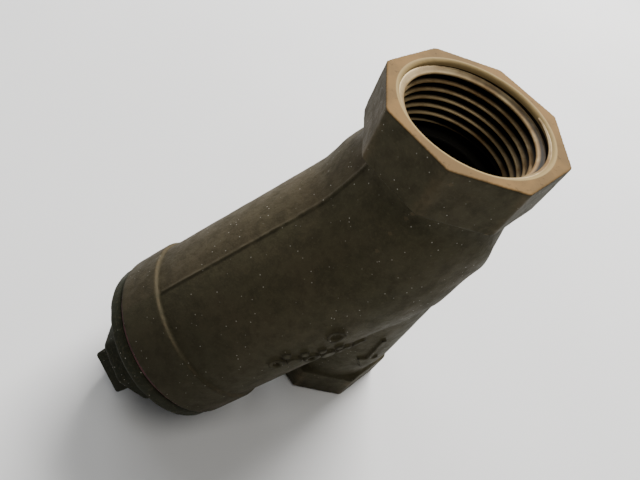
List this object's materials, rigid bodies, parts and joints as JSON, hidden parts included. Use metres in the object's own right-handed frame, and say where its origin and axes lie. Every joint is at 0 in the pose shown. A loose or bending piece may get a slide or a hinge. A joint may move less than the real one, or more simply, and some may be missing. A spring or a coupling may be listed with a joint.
{
  "type": "y strainer",
  "caption": "Bronze Y-pattern pipe strainer with octagonal threaded ends, screwed retainer cap, square-head blow-off plug and removable screen.",
  "frame": {"origin": "centre of the outlet end face, on the pipe run axis", "axes": "+Z along the run axis from the outlet end to the inlet end; the branch with the cap leaves the run towards -X and down at 45 degrees; +Y is across the body, square to the parting plane of the casting"},
  "size_m": [0.0975, 0.048, 0.1099],
  "materials": {
    "cast_bronze": "sand-cast, dark brown olive patina, satin",
    "machined_bronze": "turned, dulled",
    "cap_bronze": "sand-cast, dark green brown patina",
    "fibre_gasket": "matte red vulcanised fibre",
    "stainless": "drawn wire and rolled sheet, satin"
  },
  "bodies": {
    "root": {"body_casting": "cast_bronze"},
    "gasket_body": {"cap_gasket": "fibre_gasket"},
    "cap_body": {"retainer_cap": "cap_bronze"},
    "plug_body": {"blow_off_plug": "cap_bronze"},
    "screen_body": {"screen_mesh": "stainless", "screen_top_ring": "stainless", "screen_bottom_ring": "stainless", "screen_seam_strip": "stainless"}
  },
  "joints": [
    {"name": "cap_travel", "type": "slide", "parent": "root", "child": "gasket_body", "axis": [-0.7071, 0, -0.7071], "range_m": [0, 0.08053]},
    {"name": "cap_spin", "type": "hinge", "parent": "gasket_body", "child": "cap_body", "pos_m": [0, 0, 0.074], "axis": [-0.7071, 0, -0.7071], "range_deg": [0, 13680]},
    {"name": "plug_travel", "type": "slide", "parent": "cap_body", "child": "plug_body", "axis": [-0.7071, 0, -0.7071], "range_m": [0, 0.03]},
    {"name": "screen_travel", "type": "slide", "parent": "root", "child": "screen_body", "axis": [-0.7071, 0, -0.7071], "range_m": [0, 0.08053]}
  ],
  "couplings": [
    {"joint": "cap_travel", "follows": "cap_spin", "m_per_rad": 0.00033688},
    {"joint": "screen_travel", "follows": "cap_spin", "m_per_rad": 0.00033688}
  ]
}
